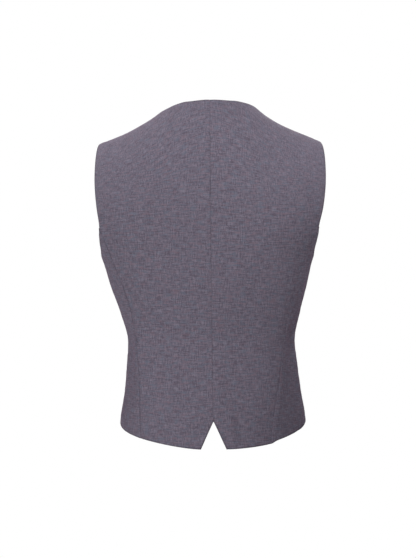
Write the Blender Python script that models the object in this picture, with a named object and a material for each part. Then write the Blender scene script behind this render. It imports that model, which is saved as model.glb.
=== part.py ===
"""A suit waistcoat in fine worsted, standing open in its worn shape with its front buttoned.

The garment faces -Y, its wearer's left is +X, and up is +Z.  Its origin is where the shoulders
carry it: midway between the two shoulder seams, at the height of the seams' middle.

Every panel is a piece of one hollow form.  The form is a stack of plan sections, rounded
rectangles around the Z axis.  Up to ROLL_LEVEL a section's level is its height above the hem.
Above it the wall leans inwards along a quarter of an ellipse and ends on the shoulder line, and
the level goes on counting the way along that quarter.  A point of the form is therefore given by
a turn (0 degrees at the side, 90 at the centre back, -90 at the centre front) and a level.
"""

import math

import bmesh
import bpy
import numpy as np

# ---- Driving sizes, in metres.  Heights are above the two points of the back hem. ----
WALL = 0.0018                # worsted with its interlining and pressed seam allowances
SEAM_GAP = 0.0003            # between two panels where they are sewn together
HOLD_HEIGHT = 0.470          # the shoulders carry the garment here

ROLL_LEVEL = 0.360           # the wall starts to lean towards the shoulder line
TOP_LEVEL = 0.560            # level of the shoulder seam
UNDERARM_LEVEL = 0.284       # lowest point of the armhole

NECK_HALF_WIDTH = 0.0765     # centre to where the neckline meets the shoulder seam
NECK_DEPTH_BACK = 0.058      # shoulder seam to the neckline's middle at the back
NECK_ROUNDNESS = 1.70        # 2 is an ellipse in plan, less is more pointed
SHOULDER_TIP_X = 0.1670      # centre to the armhole's end of the shoulder seam

ARMHOLE_BACK_REACH = 0.078   # shoulder plane to the armhole's rearmost edge
ARMHOLE_FRONT_REACH = 0.070  # shoulder plane to its foremost edge
ARMHOLE_ROUND = 0.075        # height over which its lower end is rounded
ARMHOLE_TIP_CURVE = 3        # how late its edge turns towards the shoulder's tip

BACK_SEAM_TOP = 0.328        # level at which the back panel seam leaves the armhole
VENT_HEIGHT = 0.042          # inverted V at the centre of the back hem
VENT_HALF_WIDTH = 0.0189
CENTRE_SWAY = 0.0021         # the centre seam drifts this far to the right on its way down
SWAY_TOP = 0.300             # from this level
SIDE_HEM_RISE = 0.0352       # hem at the side seam, above the two points of the back hem
HEM_CURVE = {1: 1.5, -1: 1.9}   # left and right; 1 is a straight slope to the side seam
HEM_SAG = {1: 0.0, -1: 0.0022}  # left and right back hem below the side panel's at the seam

V_BOTTOM = 0.286             # level at which the front edges meet below the V neck
LAP = 0.016                  # each front passes the centre by this much
LAP_GAP = 0.0007             # between the upper and the lower front where they lap
LAP_FADE = 0.060             # way over which the upper front comes back to the form
FRONT_POINT_X = 0.060        # centre to the point of each front's hem
FRONT_POINT_HEIGHT = -0.002
CUTAWAY_HEIGHT = 0.050       # front edges end here and slope to the points

BUTTON_COUNT = 5
BUTTON_RADIUS = 0.0075
BUTTON_THICK = 0.0030
TOP_BUTTON_LEVEL = 0.271
BOTTOM_BUTTON_LEVEL = 0.075
BUTTON_SEAT = 0.0004         # clear of the cloth, which is slightly curved under the disc

# ---- Plan sections of the form.  Fullness 2 is an ellipse, more is squarer. ----
SECTION_COLUMNS = (
    "level", "left", "right", "back_depth", "front_depth",
    "left_fullness", "right_fullness", "front_fullness")
SECTIONS = (
    (-0.015, 0.1410, 0.1443, 0.1075, 0.1150, 2.30, 1.85, 2.30),  # below the hem, for the points
    (0.037, 0.1393, 0.1426, 0.1045, 0.1130, 2.30, 1.85, 2.30),   # hem at the side seams
    (0.083, 0.1324, 0.1357, 0.0970, 0.1080, 2.30, 1.85, 2.30),   # hip
    (0.120, 0.1293, 0.1312, 0.0910, 0.1050, 2.30, 1.85, 2.30),
    (0.156, 0.1272, 0.1275, 0.0885, 0.1030, 2.30, 1.90, 2.35),   # waist
    (0.202, 0.1386, 0.1359, 0.0940, 0.1120, 2.35, 2.05, 2.45),
    (0.239, 0.1520, 0.1453, 0.1000, 0.1240, 2.40, 2.25, 2.60),   # under the bust
    (0.284, 0.1658, 0.1561, 0.1050, 0.1340, 2.55, 2.50, 2.70),   # bust and underarm
    (0.320, 0.1833, 0.1768, 0.1085, 0.1330, 2.90, 2.90, 2.50),
    (0.360, 0.1896, 0.1877, 0.1100, 0.1240, 3.40, 3.40, 2.40),   # shoulder blades
    (0.420, 0.1902, 0.1896, 0.1100, 0.1100, 3.60, 3.60, 2.40),
    (0.500, 0.1906, 0.1909, 0.1100, 0.1000, 3.50, 3.50, 2.40),
    (0.580, 0.1872, 0.1886, 0.1100, 0.0970, 3.40, 3.40, 2.40))

# ---- The shoulder line seen from the front or back, carried on across the neck. ----
SHOULDER_COLUMNS = ("x", "left", "right")
SHOULDER_LINE = (
    (-0.020, 0.5465, 0.5465), (0.0, 0.5475, 0.5476), (0.034, 0.5358, 0.5368),
    (0.052, 0.5236, 0.5262), (0.0648, 0.5130, 0.5168), (0.0765, 0.5040, 0.5055),
    (0.0892, 0.4950, 0.4960), (0.106, 0.4850, 0.4860), (0.125, 0.4748, 0.4770),
    (0.147, 0.4655, 0.4680), (0.167, 0.4580, 0.4590), (0.190, 0.4450, 0.4450))

# ---- Distance of the back panel seam from the centre back, on each side. ----
BACK_SEAM_COLUMNS = ("level", "left", "right")
BACK_SEAM = (
    (-0.015, 0.1055, 0.0850),
    (0.037, 0.1065, 0.0895),
    (0.100, 0.1055, 0.0973),
    (0.160, 0.1090, 0.1075),
    (0.200, 0.1180, 0.1145),
    (0.270, 0.1440, 0.1390))

# ---- Soft troughs that the cloth falls into, on the form.  Depth below 0 is a ridge. ----
CREASE_COLUMNS = (
    "side", "turn_deg", "level", "lean_deg_per_m", "half_length", "half_width", "depth")
CREASES = (
    (1, 36.0, 0.200, 60.0, 0.060, 0.0090, 0.0016),     # beside the left back seam
    (1, 29.0, 0.190, 60.0, 0.050, 0.0110, -0.0012),    # the soft roll next to it
    (1, 15.0, 0.125, -20.0, 0.050, 0.0150, 0.0040),    # hollow of the left waist
    (-1, 17.0, 0.130, -20.0, 0.060, 0.0160, 0.0056),   # hollow of the right waist
    (-1, 19.0, 0.045, 10.0, 0.045, 0.0150, 0.0042),     # and of the right hip
    (-1, 31.0, 0.205, -40.0, 0.060, 0.0120, -0.0010),
    (-1, 66.0, 0.025, 60.0, 0.030, 0.0100, 0.0014),    # beside the vent
    (-1, 74.0, 0.030, 60.0, 0.026, 0.0070, -0.0010),
    (1, -40.0, 0.150, 120.0, 0.030, 0.0130, 0.0014),   # pulls from the buttons at the waist
    (-1, -46.0, 0.165, -90.0, 0.035, 0.0120, 0.0012),
    (-1, -28.0, 0.135, 60.0, 0.040, 0.0150, 0.0016),
    (1, -24.0, 0.170, -50.0, 0.045, 0.0150, 0.0014))
SIDE_NAMES = {1: "left", -1: "right"}

# ---- A button's profile as shares of its radius and thickness, from its back to its face. ----
BUTTON_PROFILE = (
    (0.80, 0.00), (0.96, 0.20), (1.00, 0.45), (0.97, 0.80), (0.88, 1.00), (0.74, 0.96),
    (0.62, 0.70), (0.30, 0.62))
BUTTON_SIDES = 24

# ---- How finely the panels are laid out. ----
LOWER_ROWS = 18              # hem to underarm
UPPER_ROWS = 14              # underarm to shoulder seam or neckline
UPPER_CROWDING = 1.5         # above 1 these rows crowd at the underarm's curve
SIDE_COLUMNS = 6
EDGE_LINES = {               # a panel's edge line and the line beside it
    "first": (np.s_[:, 0], np.s_[:, 1]),
    "last": (np.s_[:, -1], np.s_[:, -2]),
    "top": (np.s_[-1, :], np.s_[-2, :])}

FINISHES = {
    "worsted": {"color": (0.139, 0.122, 0.152, 1.0), "roughness": 0.85, "metallic": 0.0},
    "horn": {"color": (0.060, 0.050, 0.062, 1.0), "roughness": 0.35, "metallic": 0.0}}


def column(table, names, name):
    """One named column of a table, as an array."""
    return np.array([row[names.index(name)] for row in table])


def smooth(table, names, name, at):
    """A column read between its rows by cubics whose slopes never overshoot the rows."""
    knots = column(table, names, names[0])
    values = column(table, names, name)
    widths = np.diff(knots)
    slopes = np.diff(values) / widths
    product = slopes[:-1] * slopes[1:]
    total = slopes[:-1] + slopes[1:]
    inner = np.where(product > 0, 2 * product / np.where(total == 0, 1, total), 0)
    tangents = np.concatenate([slopes[:1], inner, slopes[-1:]])
    at = np.clip(at, knots[0], knots[-1])
    i = np.clip(np.searchsorted(knots, at) - 1, 0, len(widths) - 1)
    t = (at - knots[i]) / widths[i]
    rise = t * t * (3 - 2 * t)
    bend_in = t * (1 - t) ** 2 * widths[i] * tangents[i]
    bend_out = t * t * (t - 1) * widths[i] * tangents[i + 1]
    return values[i] + (values[i + 1] - values[i]) * rise + bend_in + bend_out


def section(name, level):
    """One size of the plan section at a level."""
    return smooth(SECTIONS, SECTION_COLUMNS, name, level)


def ring(side, turn, level):
    """Plan point of a section: x and y before the wall leans in.

    The section is |x/half_width|^n + |y/depth|^n = 1, and turn is the true angle of the point.
    A crease takes its depth off the radius, less and less along and across itself.
    """
    behind = np.sin(turn) >= 0
    depth = np.where(behind, section("back_depth", level), section("front_depth", level))
    fullness = np.where(
        behind, section(SIDE_NAMES[side] + "_fullness", level),
        section("front_fullness", level))
    across = np.abs(np.cos(turn)) / section(SIDE_NAMES[side], level)
    along = np.abs(np.sin(turn)) / depth
    radius = (across ** fullness + along ** fullness) ** (-1 / fullness)
    for on_side, turn_deg, middle, lean_deg, half_length, half_width, sunk in CREASES:
        if on_side == side:
            up = level - middle
            centre = np.radians(turn_deg + lean_deg * up)
            off = (turn - centre) * radius
            radius = radius - sunk * np.exp(-(off / half_width) ** 2 - (up / half_length) ** 2)
    return radius * np.cos(turn), radius * np.sin(turn)


def lean(level):
    """How far the quarter ellipse has gone: 0 at ROLL_LEVEL, a right angle at TOP_LEVEL."""
    way = (level - ROLL_LEVEL) / (TOP_LEVEL - ROLL_LEVEL)
    return np.maximum(way, 0) * math.pi / 2


def form(side, turn, level):
    """Points of the form, as an array with a last axis of x, y and z."""
    turn, level = np.broadcast_arrays(np.asarray(turn, float), np.asarray(level, float))
    x, y = ring(side, turn, level)
    ridge = smooth(SHOULDER_LINE, SHOULDER_COLUMNS, SIDE_NAMES[side], x)
    height = np.minimum(level, ROLL_LEVEL) + (ridge - ROLL_LEVEL) * np.sin(lean(level))
    return np.stack([side * x, y * np.cos(lean(level)), height], axis=-1)


def normals(side, turn, level):
    """Outward unit normals of the form, from small steps in turn and in level."""
    step = 1e-4
    round_it = form(side, turn + step, level) - form(side, turn - step, level)
    up_it = form(side, turn, level + step) - form(side, turn, level - step)
    found = side * np.cross(round_it, up_it)
    return found / np.linalg.norm(found, axis=-1, keepdims=True)


def turn_at_x(side, x, level, behind):
    """Turn of the point of a section that lies x from the centre, at the back or the front."""
    half_width = section(SIDE_NAMES[side], level)
    depth = section("back_depth" if behind else "front_depth", level)
    fullness = section((SIDE_NAMES[side] if behind else "front") + "_fullness", level)
    across = np.clip(np.abs(x) / half_width, 0, 1)
    y = depth * (1 - across ** fullness) ** (1 / fullness)
    return np.arctan2(y if behind else -y, x)


def armhole_turn(side, level, behind):
    """Turn of the armhole's edge: an arch rounded at its lower end, down to the underarm."""
    depth = section("back_depth" if behind else "front_depth", level)
    fullness = section((SIDE_NAMES[side] if behind else "front") + "_fullness", level)
    half_width = section(SIDE_NAMES[side], level)
    widest = ARMHOLE_BACK_REACH if behind else ARMHOLE_FRONT_REACH
    fallen = np.clip(1 - (level - UNDERARM_LEVEL) / ARMHOLE_ROUND, 0, 1)
    reach = widest * np.sqrt(1 - fallen ** 2)
    x = half_width * (1 - (reach / depth) ** fullness) ** (1 / fullness)
    turn = np.arctan2(reach if behind else -reach, x)
    tip = turn_at_x(side, SHOULDER_TIP_X, np.full_like(x, TOP_LEVEL), behind)
    start = UNDERARM_LEVEL + ARMHOLE_ROUND
    way = np.clip((level - start) / (TOP_LEVEL - start), 0, 1)
    return turn + (tip - turn) * way ** ARMHOLE_TIP_CURVE


def back_seam_turn(side, level):
    """Turn of the seam between the back and the side back panel, up to the armhole."""
    top_turn = armhole_turn(side, np.array(BACK_SEAM_TOP), True)
    top_x = float(ring(side, top_turn, np.array(BACK_SEAM_TOP))[0])
    rows = BACK_SEAM + ((BACK_SEAM_TOP, top_x, top_x),)
    x = smooth(rows, BACK_SEAM_COLUMNS, SIDE_NAMES[side], level)
    return turn_at_x(side, x, level, True)


def solve(low, high, is_above):
    """Level at which is_above turns true, for whole arrays, by halving."""
    low, high = np.broadcast_arrays(np.asarray(low, float), np.asarray(high, float))
    low, high = low.copy(), high.copy()
    for _ in range(40):
        middle = (low + high) / 2
        above = is_above(middle)
        high = np.where(above, middle, high)
        low = np.where(above, low, middle)
    return (low + high) / 2


def centre_x(side, level):
    """Distance of the centre back seam from the middle of the garment, towards this side."""
    return -side * CENTRE_SWAY * np.clip(1 - np.asarray(level, float) / SWAY_TOP, 0, 1)


def back_hem(side, turn):
    """Level of the back hem: the inverted V at the centre, then a curve up to the side seam."""
    middle = centre_x(side, 0.0)
    point_turn = turn_at_x(side, middle + VENT_HALF_WIDTH, np.array(0.0), True)
    x = ring(side, turn, np.zeros_like(turn))[0]
    vent = VENT_HEIGHT * (1 - np.abs(x - middle) / VENT_HALF_WIDTH)
    share = np.clip(1 - turn / point_turn, 0, 1)
    return np.where(turn > point_turn, vent, SIDE_HEM_RISE * share ** HEM_CURVE[side])


def front_hem(side, turn):
    """Level of a front's hem: a straight slope from the edge to the point, then a curve up."""
    point_turn = turn_at_x(side, FRONT_POINT_X, np.array(0.0), False)
    x = ring(side, turn, np.zeros_like(turn))[0]
    slope = (CUTAWAY_HEIGHT - FRONT_POINT_HEIGHT) / (LAP + FRONT_POINT_X)
    share = np.clip(1 - turn / point_turn, 0, 1)
    curve = (SIDE_HEM_RISE - FRONT_POINT_HEIGHT) * share ** HEM_CURVE[side]
    return FRONT_POINT_HEIGHT + np.where(turn < point_turn, slope * (FRONT_POINT_X - x), curve)


def front_edge_x(side, level):
    """Distance of a front's edge from the centre: its lap below the V, then the V itself."""
    neck_rise = float(smooth(SHOULDER_LINE, SHOULDER_COLUMNS, SIDE_NAMES[side], NECK_HALF_WIDTH))
    height = np.minimum(level, ROLL_LEVEL) + (neck_rise - ROLL_LEVEL) * np.sin(lean(level))
    way = np.clip((height - V_BOTTOM) / (neck_rise - V_BOTTOM), 0, 1)
    return -LAP + (NECK_HALF_WIDTH + LAP) * way


def settle(side, turn_of, hem_of):
    """Level at which each column of a panel meets its hem, by repeated substitution."""
    level = np.zeros_like(turn_of(0.0))
    for _ in range(12):
        level = hem_of(side, turn_of(level))
    return level


def shares(*stops):
    """Columns between named stops: each stop is (share, columns up to the next one)."""
    spans = [np.linspace(a, b, count + 1)[:-1] for (a, count), (b, _) in zip(stops, stops[1:])]
    return np.concatenate(spans + [[stops[-1][0]]])


def blocks(bottom, middle, top):
    """Rows of levels of a panel: LOWER_ROWS up to its middle line and UPPER_ROWS above it."""
    lower = np.linspace(bottom, middle, LOWER_ROWS + 1)[:-1]
    way = (np.arange(UPPER_ROWS + 1) / UPPER_ROWS)[:, None] ** UPPER_CROWDING
    return np.concatenate([lower, middle + (top - middle) * way])


def back_panel(side):
    """Half of the back: centre seam to the back seam and armhole, hem to neckline and shoulder."""

    def turn_of(share, level):
        level = np.broadcast_to(level, np.shape(share)).astype(float)
        seam = back_seam_turn(side, np.minimum(level, BACK_SEAM_TOP))
        outer = np.where(level < BACK_SEAM_TOP, seam, armhole_turn(side, level, True))
        centre = turn_at_x(side, centre_x(side, level), level, True)
        return centre + share * (outer - centre)

    hem_centre, hem_outer = turn_of(np.array([0.0, 1.0]), 0.0)
    vent_x = centre_x(side, 0.0) + VENT_HALF_WIDTH
    vent_turn = float(turn_at_x(side, vent_x, np.array(0.0), True))
    neck_turn = float(turn_at_x(side, NECK_HALF_WIDTH, np.array(TOP_LEVEL), True))
    tip_turn = float(armhole_turn(side, np.array(TOP_LEVEL), True))
    vent_share = float((hem_centre - vent_turn) / (hem_centre - hem_outer))
    neck_share = (math.pi / 2 - neck_turn) / (math.pi / 2 - tip_turn)
    share = shares((0.0, 2), (vent_share, 4), (neck_share, 6), (1.0, 0))

    def inside_neck(level):
        x, y, _ = np.moveaxis(form(side, turn_of(share, level), level), -1, 0)
        across = np.abs(x) / NECK_HALF_WIDTH
        return across ** NECK_ROUNDNESS + (np.abs(y) / NECK_DEPTH_BACK) ** NECK_ROUNDNESS < 1

    bottom = settle(side, lambda level: turn_of(share, level), back_hem)
    bottom -= HEM_SAG[side] * share ** 2
    neckline = solve(np.full_like(share, ROLL_LEVEL), TOP_LEVEL, inside_neck)
    top = np.where(share < neck_share - 1e-6, neckline, TOP_LEVEL)
    levels = blocks(bottom, np.full_like(share, BACK_SEAM_TOP), top)
    return turn_of(share[None, :] + 0 * levels, levels), levels


def side_panel(side):
    """Side back panel: back seam to side seam, hem to the lower end of the armhole."""
    share = np.linspace(0, 1, SIDE_COLUMNS + 1)

    def turn_of(share, level):
        level = np.broadcast_to(level, np.shape(share)).astype(float)
        return back_seam_turn(side, level) * (1 - share)

    bottom = settle(side, lambda level: turn_of(share, level), back_hem)
    top = solve(
        np.full_like(share, UNDERARM_LEVEL), BACK_SEAM_TOP,
        lambda level: armhole_turn(side, level, True) > turn_of(share, level))
    levels = np.linspace(bottom, top, LOWER_ROWS + 1)
    return turn_of(share[None, :] + 0 * levels, levels), levels


def front_panel(side):
    """A front: its edge and V to the side seam and armhole, hem to the shoulder seam."""

    def turn_of(share, level):
        level = np.broadcast_to(level, np.shape(share)).astype(float)
        inner = turn_at_x(side, front_edge_x(side, level), level, False)
        outer = np.where(level < UNDERARM_LEVEL, 0.0, armhole_turn(side, level, False))
        return inner + share * (outer - inner)

    edge_turn = float(turn_at_x(side, -LAP, np.array(0.0), False))
    point_turn = float(turn_at_x(side, FRONT_POINT_X, np.array(0.0), False))
    point_share = (point_turn - edge_turn) / -edge_turn
    share = shares((0.0, 5), (point_share, 8), (1.0, 0))
    bottom = settle(side, lambda level: turn_of(share, level), front_hem)
    middle = V_BOTTOM + (UNDERARM_LEVEL - V_BOTTOM) * share
    levels = blocks(bottom, middle, np.full_like(share, TOP_LEVEL))
    return turn_of(share[None, :] + 0 * levels, levels), levels


def lifted(outer, outward, side):
    """The upper front's points moved out near its edge, so that it lies over the lower front."""
    past = (side * outer[..., 0] - LAP) / LAP_FADE
    fade = np.clip(1 - past, 0, 1)
    lift = (WALL + LAP_GAP) * fade * fade * (3 - 2 * fade)
    return outer + lift[..., None] * outward


def inset(outer, inner, edges):
    """Draws the sewn edges of a panel back along the cloth by half a seam gap."""
    for edge in edges:
        line, beside = EDGE_LINES[edge]
        step = outer[beside] - outer[line]
        step = step / np.linalg.norm(step, axis=-1, keepdims=True) * SEAM_GAP / 2
        outer[line] += step
        inner[line] += step


def cloth(name, side, turn, level, edges, is_upper=False):
    """Solid wall of a panel: its outer points, its inner points one WALL in, and the rims."""
    outer = form(side, turn, level)
    outward = normals(side, turn, level)
    if is_upper:
        outer = lifted(outer, outward, side)
    inner = outer - WALL * outward
    inset(outer, inner, edges)
    rows, columns = outer.shape[:2]
    points = np.concatenate([outer.reshape(-1, 3), inner.reshape(-1, 3)])
    index = np.arange(rows * columns).reshape(rows, columns)
    corners = (index[:-1, :-1], index[:-1, 1:], index[1:, 1:], index[1:, :-1])
    skin = np.stack(corners, axis=-1).reshape(-1, 4)
    back_skin = skin[:, ::-1] + rows * columns
    around = np.concatenate([index[0, :-1], index[:-1, -1], index[-1, :0:-1], index[:0:-1, 0]])
    ahead = np.roll(around, -1)
    rim = np.stack([ahead, around, around + rows * columns, ahead + rows * columns], axis=-1)
    return solid(name, points, np.concatenate([skin, back_skin, rim]).tolist(), "worsted")


def solid(name, points, faces, finish):
    """An object standing at its true height, with its faces turned outwards."""
    mesh = bpy.data.meshes.new(name)
    mesh.from_pydata(points.tolist(), [], faces)
    work = bmesh.new()
    work.from_mesh(mesh)
    bmesh.ops.recalc_face_normals(work, faces=work.faces)
    work.to_mesh(mesh)
    work.free()
    mesh.shade_smooth()
    mesh.set_sharp_from_angle(angle=math.radians(40))
    mesh.materials.append(material(finish))
    made = bpy.data.objects.new(name, mesh)
    made.location = (0.0, 0.0, -HOLD_HEIGHT)
    bpy.context.scene.collection.objects.link(made)
    return made


def material(finish):
    """The Principled material of a finish, made once."""
    found = bpy.data.materials.get(finish)
    if found is None:
        found = bpy.data.materials.new(finish)
        found.use_nodes = True
        shader = found.node_tree.nodes["Principled BSDF"]
        shader.inputs["Base Color"].default_value = FINISHES[finish]["color"]
        shader.inputs["Roughness"].default_value = FINISHES[finish]["roughness"]
        shader.inputs["Metallic"].default_value = FINISHES[finish]["metallic"]
    return found


def button(name, level):
    """A turned button with a raised rim, face outwards on the upper front at the centre line."""
    turn = np.array(-math.pi / 2)
    level = np.array(level)
    outward = normals(-1, turn, level)
    seat = lifted(form(-1, turn, level), outward, -1) + BUTTON_SEAT * outward
    across = np.array((1.0, 0.0, 0.0))
    up = np.cross(outward, across)
    up = up / np.linalg.norm(up) * math.copysign(1.0, np.cross(outward, across)[2])
    angle = np.linspace(0, 2 * math.pi, BUTTON_SIDES, endpoint=False)
    ring_points = np.cos(angle)[:, None] * across + np.sin(angle)[:, None] * up
    radius = np.array([row[0] for row in BUTTON_PROFILE]) * BUTTON_RADIUS
    rise = np.array([row[1] for row in BUTTON_PROFILE]) * BUTTON_THICK
    rings = seat + radius[:, None, None] * ring_points + rise[:, None, None] * outward
    count = len(radius)
    back_centre = count * BUTTON_SIDES
    points = np.concatenate([
        rings.reshape(-1, 3), [seat + rise[0] * outward], [seat + rise[-1] * outward]])
    index = np.arange(count * BUTTON_SIDES).reshape(count, BUTTON_SIDES)
    beside = np.roll(index, -1, axis=1)
    band = np.stack([index[:-1], beside[:-1], beside[1:], index[1:]], axis=-1).reshape(-1, 4)
    faces = band.tolist()
    faces += [[a, b, back_centre] for a, b in zip(beside[0], index[0])]
    faces += [[a, b, back_centre + 1] for a, b in zip(index[-1], beside[-1])]
    return solid(name, points, faces, "horn")


for old in list(bpy.data.objects):
    bpy.data.objects.remove(old)

for side, side_name in SIDE_NAMES.items():
    turn, level = back_panel(side)
    cloth("back_" + side_name, side, turn, level, ("first", "last", "top"))
    turn, level = side_panel(side)
    cloth("side_back_" + side_name, side, turn, level, ("first", "last"))
    turn, level = front_panel(side)
    cloth("front_" + side_name, side, turn, level, ("last", "top"), is_upper=side == -1)

for number in range(BUTTON_COUNT):
    drop = (TOP_BUTTON_LEVEL - BOTTOM_BUTTON_LEVEL) * number / (BUTTON_COUNT - 1)
    button(f"button_{number + 1}", TOP_BUTTON_LEVEL - drop)
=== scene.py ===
"""A suit waistcoat in fine mauve-grey worsted, hollow and open in its worn shape.

It is dressed panel by panel over its solids: the back, the side backs, the fronts, then the
buttons.  It faces -Y, the wearer's left is +X and its shoulders are carried at height 0.
"""
import math

import bmesh
import bpy
import numpy as np
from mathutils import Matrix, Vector


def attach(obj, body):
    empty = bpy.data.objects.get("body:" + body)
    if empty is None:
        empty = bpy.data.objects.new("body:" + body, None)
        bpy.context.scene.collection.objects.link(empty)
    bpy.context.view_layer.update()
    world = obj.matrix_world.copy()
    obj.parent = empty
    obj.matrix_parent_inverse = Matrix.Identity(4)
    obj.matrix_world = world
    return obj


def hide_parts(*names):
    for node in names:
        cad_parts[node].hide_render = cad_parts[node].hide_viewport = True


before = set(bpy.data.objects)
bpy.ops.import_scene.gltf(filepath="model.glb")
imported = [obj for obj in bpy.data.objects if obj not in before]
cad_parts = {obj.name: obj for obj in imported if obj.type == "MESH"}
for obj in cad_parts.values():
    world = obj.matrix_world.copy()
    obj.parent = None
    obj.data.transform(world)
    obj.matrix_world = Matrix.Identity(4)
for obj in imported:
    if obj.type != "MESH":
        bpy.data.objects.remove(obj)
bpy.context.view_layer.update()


# ==== The back ====
# Two halves of fine worsted, sewn down the centre and pressed open.  The seam ends at the
# inverted V of the hem.  Neckline, armholes and hem are turned in and pressed to a crisp edge,
# and the shoulder seams join the back to the fronts.
HOLD_HEIGHT = 0.470  # the shoulders carry the garment this far above the back hem
ROLL_LEVEL = 0.360  # the cloth starts to lean in towards the shoulder line
TOP_LEVEL = 0.560  # level of the shoulder seam
UNDERARM_LEVEL = 0.284
NECK_HALF_WIDTH = 0.0765
NECK_DEPTH_BACK = 0.058
NECK_ROUNDNESS = 1.70
SHOULDER_TIP_X = 0.1670
ARMHOLE_BACK_REACH = 0.078
ARMHOLE_FRONT_REACH = 0.070
ARMHOLE_ROUND = 0.075
ARMHOLE_TIP_CURVE = 3
BACK_SEAM_TOP = 0.328  # here the curved back seam leaves the armhole
VENT_HEIGHT = 0.042
VENT_HALF_WIDTH = 0.0189
CENTRE_SWAY = 0.0021  # the centre seam drifts this far to the right on its way down
SWAY_TOP = 0.300  # from this level
SIDE_HEM_RISE = 0.0352
HEM_CURVE = {1: 1.5, -1: 1.9}
HEM_SAG = {1: 0.0, -1: 0.0022}
SIDE_NAMES = {1: "left", -1: "right"}

BODY_COLUMNS = (
    "level", "left", "right", "back_depth", "front_depth",
    "left_fullness", "right_fullness", "front_fullness")
BODY_SIZES = (
    (-0.015, 0.1410, 0.1443, 0.1075, 0.1150, 2.30, 1.85, 2.30),
    (0.037, 0.1393, 0.1426, 0.1045, 0.1130, 2.30, 1.85, 2.30),  # hem at the sides
    (0.083, 0.1324, 0.1357, 0.0970, 0.1080, 2.30, 1.85, 2.30),
    (0.120, 0.1293, 0.1312, 0.0910, 0.1050, 2.30, 1.85, 2.30),
    (0.156, 0.1272, 0.1275, 0.0885, 0.1030, 2.30, 1.90, 2.35),  # waist
    (0.202, 0.1386, 0.1359, 0.0940, 0.1120, 2.35, 2.05, 2.45),
    (0.239, 0.1520, 0.1453, 0.1000, 0.1240, 2.40, 2.25, 2.60),
    (0.284, 0.1658, 0.1561, 0.1050, 0.1340, 2.55, 2.50, 2.70),  # bust and underarm
    (0.320, 0.1833, 0.1768, 0.1085, 0.1330, 2.90, 2.90, 2.50),
    (0.360, 0.1896, 0.1877, 0.1100, 0.1240, 3.40, 3.40, 2.40),  # shoulder blades
    (0.420, 0.1902, 0.1896, 0.1100, 0.1100, 3.60, 3.60, 2.40),
    (0.500, 0.1906, 0.1909, 0.1100, 0.1000, 3.50, 3.50, 2.40),
    (0.580, 0.1872, 0.1886, 0.1100, 0.0970, 3.40, 3.40, 2.40))

SHOULDER_COLUMNS = ("x", "left", "right")
SHOULDER_LINE = (
    (-0.020, 0.5465, 0.5465), (0.0, 0.5475, 0.5476), (0.034, 0.5358, 0.5368),
    (0.052, 0.5236, 0.5262), (0.0648, 0.5130, 0.5168), (0.0765, 0.5040, 0.5055),
    (0.0892, 0.4950, 0.4960), (0.106, 0.4850, 0.4860), (0.125, 0.4748, 0.4770),
    (0.147, 0.4655, 0.4680), (0.167, 0.4580, 0.4590), (0.190, 0.4450, 0.4450))

BACK_SEAM_COLUMNS = ("level", "left", "right")
BACK_SEAM = (
    (-0.015, 0.1055, 0.0850), (0.037, 0.1065, 0.0895), (0.100, 0.1055, 0.0973),
    (0.160, 0.1090, 0.1075), (0.200, 0.1180, 0.1145), (0.270, 0.1440, 0.1390))

# Soft troughs of the worn cloth, in millimetres and degrees; a depth below 0 is a ridge.  Lean
# tilts a trough that runs up the garment, and rise tilts one that runs round it.  The columns
# are side, turn, level, lean a metre, rise, half length, half width and depth.
MM = 0.001
FOLDS = (
    (1, 36, 200, 60, 0, 60, 9, 1.6),  # beside the left back seam
    (1, 29, 190, 60, 0, 50, 11, -1.2),
    (1, 15, 125, -20, 0, 50, 15, 3),
    (1, 28.5, 130, -74, 0, 70, 14.5, -4.5),  # roll along the back seam
    (-1, 12, 125, -20, 0, 65, 15, 4.2),
    (-1, 28.5, 120, -100, 0, 85, 15, -3.4),  # and two along the right one
    (-1, 42, 120, -90, 0, 85, 23, -4.8),
    (-1, 31, 205, -40, 0, 60, 12, -1),
    (-1, 66, 25, 60, 0, 30, 10, 1.4),  # beside the V of the hem
    (-1, 74, 30, 60, 0, 26, 7, -1),
    (1, -40, 150, 120, 0, 30, 13, 1.4),  # pulls from the buttons
    (-1, -46, 165, -90, 0, 35, 12, 1.2),
    (-1, -28, 135, 60, 0, 40, 15, 1.6),
    (1, -24, 170, -50, 0, 45, 15, 1.4),
    (1, 47, 235, 90, 0, 50, 12, 0.7),  # fine ones on the back
    (1, 64, 145, -30, 0, 55, 14, 0.6),
    (1, 79, 85, 20, 0, 40, 10, 0.5),
    (-1, 52, 250, -110, 0, 45, 13, 0.8),
    (-1, 44, 115, 30, 0, 50, 12, 0.7),
    (-1, 78, 160, 10, 0, 45, 12, 0.5),
    (1, 26, 158, 0, 0.10, 6.5, 24, 0.7),  # breaks across the waist
    (1, 12, 142, 0, -0.14, 5.5, 20, 0.6),
    (-1, 24, 150, 0, 0.12, 6, 23, 0.8),
    (-1, 10, 168, 0, -0.10, 7, 19, 0.6),
    (-1, 39, 178, 0, 0.20, 6, 17, 0.4),
    (1, 20, 262, -160, 0, 26, 8, 0.9),  # below the armholes
    (-1, 23, 255, 150, 0, 28, 9, 1),
    (1, -16, 252, 140, 0, 30, 8.5, 1),
    (-1, -19, 246, -130, 0, 26, 8, 0.8),
    (1, -58, 128, 150, 0, 22, 9, 0.8),  # fine ones on the fronts
    (-1, -62, 190, -60, 0, 30, 10, 0.7),
    (1, -66, 195, 80, 0, 28, 9, 0.6),
    (-1, -34, 60, 50, 0, 34, 12, 1),
    (1, -30, 55, -40, 0, 30, 13, 0.9),
    (1, -10, 150, 0, 0.14, 6, 21, 0.7),
    (-1, -12, 160, 0, -0.12, 6.5, 23, 0.8),
    (1, -34, 345, 70, 0, 36, 10, 0.9),  # in front of the armholes
    (-1, -36, 352, -60, 0, 32, 11, 1))


def column(table, names, name):
    """One named column of a table, as an array."""
    return np.array([row[names.index(name)] for row in table])


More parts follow.
